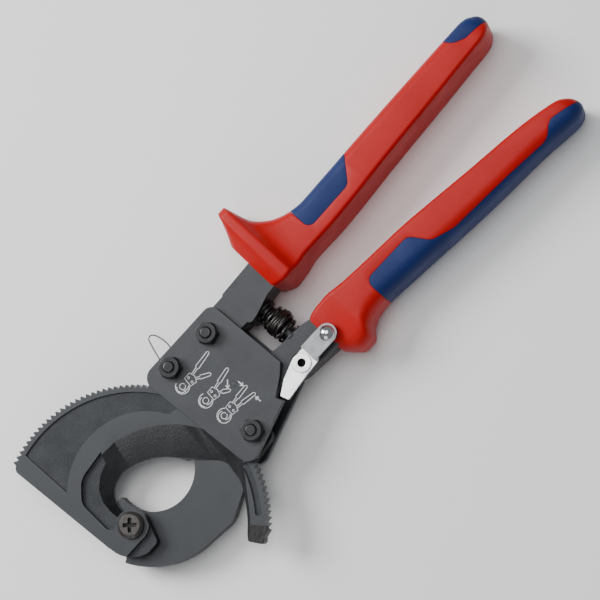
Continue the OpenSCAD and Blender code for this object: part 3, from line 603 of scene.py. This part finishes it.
def opening_coil():
    """A barrel spring, wound by spinning one round section, its turns closer in the middle than at the ends.
    """
    wire_r = 0.55
    end_r = 4.3
    belly = 1.3
    crowding = 0.55
    sideways = 0.5
    turns = 7
    steps = turns * 36
    sides = 12
    axis_x = (spring_low.x + spring_high.x) / 2
    axis_z = (spring_low.z + spring_high.z) / 2
    y_top = spring_high.y - wire_r
    y_low = spring_low.y + wire_r
    length = y_top - y_low
    work = bmesh.new()
    section = bmesh.ops.create_circle(work, segments=sides, radius=wire_r * MM)["verts"]
    bmesh.ops.rotate(work, verts=section, cent=(0, 0, 0), matrix=Matrix.Rotation(math.pi / 2, 3, "X"))
    bmesh.ops.translate(work, verts=section, vec=(end_r * MM, 0, 0))
    ring = list({e for v in section for e in v.link_edges})
    bmesh.ops.spin(
        work, geom=ring, cent=(0, 0, 0), axis=(0, 0, 1), dvec=(0, 0, length * MM / steps),
        angle=2 * math.pi * turns, steps=steps, use_merge=False)
    open_edges = [e for e in work.edges if e.is_boundary]
    bmesh.ops.holes_fill(work, edges=open_edges, sides=0)
    # the pitch and the radius along the coil follow how far each section has turned
    pitch = length / turns
    for vert in work.verts:
        x, y, z = vert.co / MM
        angle = math.atan2(y, x)
        radius = math.hypot(x, y)
        turn = round((z / pitch) - angle / (2 * math.pi))
        share = min(1.0, max(0.0, (turn + angle / (2 * math.pi)) / turns))
        rise = z - share * length
        wide = belly * math.sin(math.pi * share)
        along = length * (share + crowding * math.sin(2 * math.pi * share) / (2 * math.pi))
        lean = sideways * math.sin(math.pi * share)
        vert.co = Vector((
            axis_x + (radius + wide) * math.cos(angle) + lean,
            y_low + along + rise,
            axis_z - (radius + wide) * math.sin(angle),
        )) * MM
    bmesh.ops.recalc_face_normals(work, faces=work.faces)
    mesh = bpy.data.meshes.new("opening_coil")
    work.to_mesh(mesh)
    work.free()
    mesh.materials.append(dark_spring_steel)
    for face in mesh.polygons:
        face.use_smooth = True
    shown = bpy.data.objects.new("opening_coil", mesh)
    bpy.context.scene.collection.objects.link(shown)
    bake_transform(shown, "frame", "handle",
             (axis_x * MM, (y_top - 1) * MM, axis_z * MM), (axis_x * MM, (y_low + 1) * MM, axis_z * MM))
    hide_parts("opening_spring")


opening_coil()


# ---------------------------------------------------------------- grips

# A station is x from the grips' front end, lowest y, highest y, lowest z, and how far the top
# stands above the grips' thickness.
FIXED_STATIONS = [
    (0, 22.2, 46.5, 2, -0.9), (2.5, 20.8, 50.6, 0.8, 1.3), (4.6, 19.9, 54.8, 0, 3.0),
    (6, 19.6, 58.2, 0, 3.5), (9.2, 19.8, 58.2, 0, 3.5), (10.6, 20, 53.5, 0, 2.2),
    (12.4, 20.2, 47.6, 0, 0.7), (15.2, 20.8, 44.2, 0, -0.2), (19, 21.4, 41.2, 0, -0.6),
    (25, 21.4, 38.6, 0, -0.5), (32, 21.3, 37.4, 0, -0.2), (44, 21.8, 37.6, 0, 0),
    (65.75, 23.4, 38.2, 0, 0), (96, 25.1, 38.7, 0, 0), (116, 26.4, 38.9, 0, 0),
    (123, 26.8, 38.9, 0, 0), (126.5, 27.3, 38.5, 0.3, -0.3), (129, 28.5, 37.3, 1.3, -1.3),
    (130.7, 30, 35.9, 2.8, -2.8), (131.5, 31.4, 34.4, 4.6, -4.6),
]
MOVING_STATIONS = [
    (0, -13.8, 3.4, 2, -4.1), (2.5, -16.8, 4.3, 0.8, -3.3), (6.5, -20, 4.6, 0, -2.3),
    (11, -19.8, 4.4, 0, -0.9), (14.6, -16.4, 3.8, 0, 0), (19.5, -14.2, 3, 0, 0),
    (25.5, -13.6, 2.4, 0, 0), (39, -14.8, 1.4, 0, 0), (50.75, -15.8, 0.5, 0, 0),
    (65.75, -17.3, -1.4, 0, 0), (84, -18.7, -3.9, 0, 0), (107, -19.9, -6.8, 0, 0),
    (116, -20.8, -8.4, 0, 0), (122.5, -21.5, -9.9, 0, 0), (126, -21.6, -10.9, 0.3, -0.3),
    (128.7, -21, -12.5, 1.3, -1.3), (130.6, -19.9, -14.4, 2.8, -2.8), (131.5, -18.6, -16, 4.6, -4.6),
]


CORNER_STEPS = 6
RING_SPACING = 1.6
SEAM = 0.12
SEAM_ROUND = 0.32
SEAM_ANGLE = 38
Z_OUT = 3.0


def eased(stations, column, x):
    """One column of the stations at x, without overshoot between them."""
    xs = [s[0] for s in stations]
    ys = [s[column] for s in stations]
    i = max(k for k in range(len(xs) - 1) if xs[k] <= x + 1e-9)
    slopes = [(ys[k + 1] - ys[k]) / (xs[k + 1] - xs[k]) for k in range(len(xs) - 1)]

    def tangent(k):
        if k == 0 or k == len(xs) - 1:
            return slopes[min(k, len(slopes) - 1)]
        if slopes[k - 1] * slopes[k] <= 0:
            return 0.0
        return 2 * slopes[k - 1] * slopes[k] / (slopes[k - 1] + slopes[k])

    h = xs[i + 1] - xs[i]
    t = (x - xs[i]) / h
    m0, m1 = tangent(i) * h, tangent(i + 1) * h
    return (
        (2 * t ** 3 - 3 * t ** 2 + 1) * ys[i] + (t ** 3 - 2 * t ** 2 + t) * m0
        + (-2 * t ** 3 + 3 * t ** 2) * ys[i + 1] + (t ** 3 - t ** 2) * m1
    )


def grip_ring(x, y0, y1, z0, z1, round_low, round_high):
    """A grip's cross-section: crisp corners on the low side, fuller ones on the high side."""
    half = min(y1 - y0, z1 - z0) / 2 - 0.02
    low_r = min(round_low, half)
    high_r = min(round_high, half)
    corners = [
        (y1 - high_r, z1 - high_r, high_r, 0), (y0 + low_r, z1 - low_r, low_r, 90),
        (y0 + low_r, z0 + low_r, low_r, 180), (y1 - high_r, z0 + high_r, high_r, 270),
    ]
    ring = []
    for y, z, r, start in corners:
        for k in range(CORNER_STEPS + 1):
            a = math.radians(start + 90 * k / CORNER_STEPS)
            ring.append((x, y + r * math.cos(a), z + r * math.sin(a)))
    return ring


def grip_body(stations, round_low, round_high):
    """The whole grip as one closed skin."""
    places = []
    for left, right in zip(stations, stations[1:]):
        parts = max(3, round((right[0] - left[0]) / RING_SPACING))
        places += [left[0] + (right[0] - left[0]) * k / parts for k in range(parts)]
    places.append(stations[-1][0])
    rings = []
    for x in places:
        y0, y1, z0, z1 = (eased(stations, c, x) for c in (1, 2, 3, 4))
        rings.append(grip_ring(GRIP_X0 + x, y0, y1, z0, GRIP_T + z1, round_low, round_high))
    work = bmesh.new()
    ring_sweep(work, rings)
    return work


def rounded_outline(corners, steps=8):
    """An outline through corners (x, y, radius), as points."""
    points = []
    count = len(corners)
    for i, (x, y, r) in enumerate(corners):
        here = Vector((x, y))
        if not r:
            points.append(here)
            continue
        back = (Vector(corners[i - 1][:2]) - here).normalized()
        ahead = (Vector(corners[(i + 1) % count][:2]) - here).normalized()
        half = back.angle(ahead) / 2
        reach_in = r / math.tan(half)
        centre = here + (back + ahead).normalized() * r / math.sin(half)
        start = here + back * reach_in - centre
        turn = start.angle_signed(here + ahead * reach_in - centre)
        for k in range(steps + 1):
            a = -turn * k / steps
            points.append(centre + Matrix.Rotation(a, 2) @ start)
    return points


def prism(outline, z0, z1, grow=0.0):
    """An upright prism over an outline, its sides moved out by grow."""
    work = bmesh.new()
    verts = [work.verts.new((p.x * MM, p.y * MM, z0 * MM)) for p in outline]
    face = work.faces.new(verts)
    if face.normal.z > 0:
        face.normal_flip()
    if grow:
        count = len(outline)
        area = sum(outline[i].cross(outline[(i + 1) % count]) for i in range(count))
        side = 1 if area > 0 else -1
        moved = []
        for i in range(count):
            along = (outline[(i + 1) % count] - outline[i - 1]).normalized()
            moved.append(outline[i] + Vector((along.y, -along.x)) * side * grow)
        for vert, point in zip(verts, moved):
            vert.co = Vector((point.x * MM, point.y * MM, z0 * MM))
    up = bmesh.ops.extrude_face_region(work, geom=[face])["geom"]
    bmesh.ops.translate(
        work, verts=[g for g in up if isinstance(g, bmesh.types.BMVert)], vec=(0, 0, (z1 - z0) * MM))
    bmesh.ops.recalc_face_normals(work, faces=work.faces)
    return work


def plain_object(work, name):
    mesh = bpy.data.meshes.new(name)
    work.to_mesh(mesh)
    work.free()
    made = bpy.data.objects.new(name, mesh)
    bpy.context.scene.collection.objects.link(made)
    return made


def carved(base, cutters, operation):
    """The base mesh after its cutters, as a bmesh; the scratch objects are removed."""
    for cutter in cutters:
        cut = base.modifiers.new("cut", "BOOLEAN")
        cut.operation = operation
        cut.solver = "EXACT"
        cut.object = cutter
    bpy.context.view_layer.update()
    shape = base.evaluated_get(bpy.context.evaluated_depsgraph_get())
    work = bmesh.new()
    work.from_mesh(shape.to_mesh())
    shape.to_mesh_clear()
    for extra in [base, *cutters]:
        bpy.data.objects.remove(extra)
    bmesh.ops.remove_doubles(work, verts=work.verts, dist=0.003 * MM)
    return work


fixed_inlay_shape = rounded_outline([
    (GRIP_X0 + 25.0, 62, 0), (GRIP_X0 + 26.2, 26.8, 3.4), (GRIP_X0 + 48.6, 27.1, 4),
    (GRIP_X0 + 56.2, 36.4, 6), (GRIP_X0 + 62, 62, 0),
])
fixed_end_shape = rounded_outline([
    (GRIP_X0 + 112, 46, 0), (GRIP_X0 + 115.4, 34.8, 6), (GRIP_X0 + 121, 32.0, 5),
    (GRIP_X0 + 136, 31.0, 0), (GRIP_X0 + 136, 46, 0),
])
moving_inlay_shape = rounded_outline([
    (GRIP_X0 + 26.2, -32, 0), (GRIP_X0 + 26.2, -3.9, 3.4), (GRIP_X0 + 49.4, -4.2, 4),
    (GRIP_X0 + 54.6, -12.2, 5), (GRIP_X0 + 64, -15.2, 12), (GRIP_X0 + 92.6, -16.9, 20),
    (GRIP_X0 + 112.6, -18.6, 7), (GRIP_X0 + 118.4, -14.2, 5), (GRIP_X0 + 136, -18.2, 0),
    (GRIP_X0 + 136, -32, 0),
])


def grip_part(name, node, stations, rounds, cuts, operation, body, material):
    """One plastic part of a grip, cut along the seams and with softened seam edges."""
    base = plain_object(grip_body(stations, *rounds), name + "_base")
    grow = SEAM if operation == "DIFFERENCE" else -SEAM / 3
    cutters = [
        plain_object(prism(shape, -Z_OUT, GRIP_T + Z_OUT, grow), name + "_cutter") for shape in cuts
    ]
    work = carved(base, cutters, operation)
    seam_edges = [
        e for e in work.edges
        if len(e.link_faces) == 2 and e.calc_face_angle(0) > math.radians(SEAM_ANGLE)
    ]
    bmesh.ops.bevel(
        work, geom=seam_edges, offset=SEAM_ROUND * MM, offset_type="OFFSET", segments=2, profile=0.5,
        affect="EDGES", material=-1, clamp_overlap=True)
    shown = piece(name, work, body, [material], 50)
    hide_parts(node)


FIXED_ROUNDS = (1.6, 4.5)
MOVING_ROUNDS = (6.0, 2.0)
grip_part("fixed_grip_shell", "fixed_grip", FIXED_STATIONS, FIXED_ROUNDS,
          [fixed_inlay_shape, fixed_end_shape], "DIFFERENCE", "frame", red_plastic)
grip_part("fixed_grip_soft_inlay", "fixed_grip_inlay", FIXED_STATIONS, FIXED_ROUNDS,
          [fixed_inlay_shape], "INTERSECT", "frame", blue_plastic)
grip_part("fixed_grip_soft_end", "fixed_grip_end_inlay", FIXED_STATIONS, FIXED_ROUNDS,
          [fixed_end_shape], "INTERSECT", "frame", blue_plastic)
grip_part("moving_grip_shell", "moving_grip", MOVING_STATIONS, MOVING_ROUNDS,
          [moving_inlay_shape], "DIFFERENCE", "handle", red_plastic)
grip_part("moving_grip_soft_inlay", "moving_grip_inlay", MOVING_STATIONS, MOVING_ROUNDS,
          [moving_inlay_shape], "INTERSECT", "handle", blue_plastic)


# ---------------------------------------------------------------- printed marks on the front plate

PRINT_Z = plate_top + 0.02
LINE = 0.3


def add_stroke(work, points, width, closed=False):
    """A flat ribbon of print along points."""
    route = [Vector((x, y, PRINT_Z)) for x, y in points]
    if closed:
        route.append(route[0])
    last = len(route) - 1
    left, right = [], []
    for i, point in enumerate(route):
        if closed and i in (0, last):
            along = (route[1] - route[last - 1]).normalized()
        else:
            along = (route[min(i + 1, last)] - route[max(i - 1, 0)]).normalized()
        side = Vector((-along.y, along.x, 0)) * width / 2
        left.append(point + side)
        right.append(point - side)
    first = [work.verts.new(left[0] * MM), work.verts.new(right[0] * MM)]
    edge = work.edges.new(first)
    for a, b in zip(left[1:], right[1:]):
        grown = bmesh.ops.extrude_edge_only(work, edges=[edge])["geom"]
        edge = next(g for g in grown if isinstance(g, bmesh.types.BMEdge) and g.verts[0] not in first
                    and g.verts[1] not in first)
        near, far = edge.verts
        if any(first[0] in e.verts for e in near.link_edges):
            near.co, far.co = a * MM, b * MM
            first = [near, far]
        else:
            near.co, far.co = b * MM, a * MM
            first = [far, near]


def arc(centre, radius, start, end, steps=14):
    return [
        (centre[0] + radius * math.cos(math.radians(start + (end - start) * k / steps)),
         centre[1] + radius * math.sin(math.radians(start + (end - start) * k / steps)))
        for k in range(steps + 1)
    ]


def add_arrow(work, tail, tip, width=0.42, head=1.1):
    tail, tip = Vector(tail), Vector(tip)
    along = (tip - tail).normalized()
    side = Vector((-along.y, along.x))
    back = tip - along * head
    add_stroke(work, [tuple(tail), tuple(tip - along * 0.3)], width)
    add_stroke(work, [tuple(back + side * 0.75), tuple(tip), tuple(back - side * 0.75)], width)


def add_handle(work, foot, tip):
    """A handle drawn as a narrow closed outline that widens to its end."""
    along = (tip - foot).normalized()
    side = Vector((-along.y, along.x))
    knee = foot + (tip - foot) * 0.3
    outline = [
        foot + side * 0.35, knee + side * 0.4, knee + side * 0.85, tip + side * 0.6 - along * 0.5,
        tip, tip - side * 0.6 - along * 0.5, knee - side * 0.75, knee - side * 0.4,
        foot - side * 0.35,
    ]
    add_stroke(work, [tuple(p) for p in outline], LINE, closed=True)


def add_little_cutter(work, jaw, tips, swing):
    """A small line drawing of the tool: its jaw, its head and its two handles."""
    jaw = Vector(jaw)
    handles = [Vector(t) for t in tips]
    middle = (handles[0] + handles[1]) / 2
    along = (middle - jaw).normalized()
    side = Vector((-along.y, along.x))
    facing = math.degrees(math.atan2(along.y, along.x))
    add_stroke(work, arc(jaw, 2.9, facing + 40 + swing, facing + 322), LINE)
    add_stroke(work, arc(jaw - along * 0.4, 2.1, facing + 60 + swing, facing + 200 + swing), LINE)
    add_stroke(work, arc(jaw, 1.25, facing + 10, facing + 350, 10), 0.28)
    add_stroke(work, arc(jaw + along * 0.6, 2.0, facing + 230, facing + 318), LINE)
    neck = jaw + along * 2.6
    shoulder = jaw + along * 5.4
    head = [neck + side * 2.0, shoulder + side * 2.3, shoulder + along * 0.9,
            shoulder - side * 2.3, neck - side * 2.0]
    add_stroke(work, [tuple(p) for p in head], LINE, closed=True)
    for offset in (1.1, -1.1):
        add_stroke(work, arc(neck + along * 1.4 + side * offset, 0.42, 0, 360, 8), 0.24)
    for tip, hand in zip(handles, (1, -1)):
        add_handle(work, shoulder + side * 1.1 * hand + along * 0.5, tip)


def printed_marks():
    """Three drawings of use: squeeze the handles, lift the lever, swing the blade open."""
    work = bmesh.new()
    add_little_cutter(work, (56.6, 1.4), [(71.2, 2.9), (71.4, -1.6)], 0)
    add_arrow(work, (70.0, 6.6), (70.1, 3.9))
    add_arrow(work, (70.5, -5.4), (70.4, -2.7))
    add_little_cutter(work, (55.8, 10.9), [(71.0, 13.2), (65.6, 6.4)], 30)
    add_arrow(work, (67.6, 10.2), (65.2, 7.8))
    add_little_cutter(work, (53.4, 21.6), [(70.3, 23.4), (64.8, 16.6)], 75)
    bmesh.ops.recalc_face_normals(work, faces=work.faces)
    for face in work.faces:
        if face.normal.z < 0:
            face.normal_flip()
    bmesh.ops.solidify(work, geom=work.faces, thickness=0.03 * MM)
    piece("front_plate_print", work, "frame", [white_print])


printed_marks()


# ---------------------------------------------------------------- floor, light and camera

def area_light(name, place, target, size, power):
    data = bpy.data.lights.new(name, "AREA")
    data.shape = "SQUARE"
    data.size = size
    data.energy = power
    lamp = bpy.data.objects.new(name, data)
    lamp.location = place
    lamp.rotation_mode = "QUATERNION"
    lamp.rotation_quaternion = (Vector(target) - Vector(place)).to_track_quat("-Z", "Y")
    bpy.context.scene.collection.objects.link(lamp)


def studio():
    """A pale floor, a soft key light, a fill and an overhead light."""
    middle = Vector((110, 10, 10)) * MM
    work = bmesh.new()
    bmesh.ops.create_grid(work, x_segments=1, y_segments=1, size=3)
    floor = plain_object(work, "floor")
    pale = bpy.data.materials.new("pale floor")
    pale.use_nodes = True
    paint = pale.node_tree.nodes["Principled BSDF"]
    paint.inputs["Base Color"].default_value = (0.94, 0.94, 0.94, 1)
    paint.inputs["Roughness"].default_value = 0.8
    floor.data.materials.append(pale)
    world = bpy.data.worlds.new("studio")
    world.use_nodes = True
    sky = world.node_tree.nodes["Background"]
    sky.inputs["Color"].default_value = (0.95, 0.97, 1.0, 1)
    sky.inputs["Strength"].default_value = 0.26
    bpy.context.scene.world = world
    area_light("key", middle + Vector((-0.35, 0.85, 0.75)), middle, 0.6, 17)
    area_light("overhead", middle + Vector((0.1, 0.2, 1.1)), middle, 0.7, 5.5)
    area_light("fill", middle + Vector((-0.9, -0.5, 0.6)), middle, 0.8, 2)


studio()


def photographer():
    """The camera, above the tool and turned so that the handles run up and away."""
    right = Vector((0.6746, -0.7038, -0.2226)).normalized()
    up = Vector((0.7362, 0.6638, 0.1320)).normalized()
    back = right.cross(up).normalized()
    up = back.cross(right)
    data = bpy.data.cameras.new("camera")
    data.sensor_width = 36
    data.lens = 123.4
    data.clip_start = 0.01
    camera = bpy.data.objects.new("camera", data)
    camera.rotation_mode = "QUATERNION"
    camera.rotation_quaternion = Matrix((right, up, back)).transposed().to_quaternion()
    camera.location = Vector((153.0, -190.8, 788.5)) * MM
    bpy.context.scene.collection.objects.link(camera)
    bpy.context.scene.camera = camera


photographer()
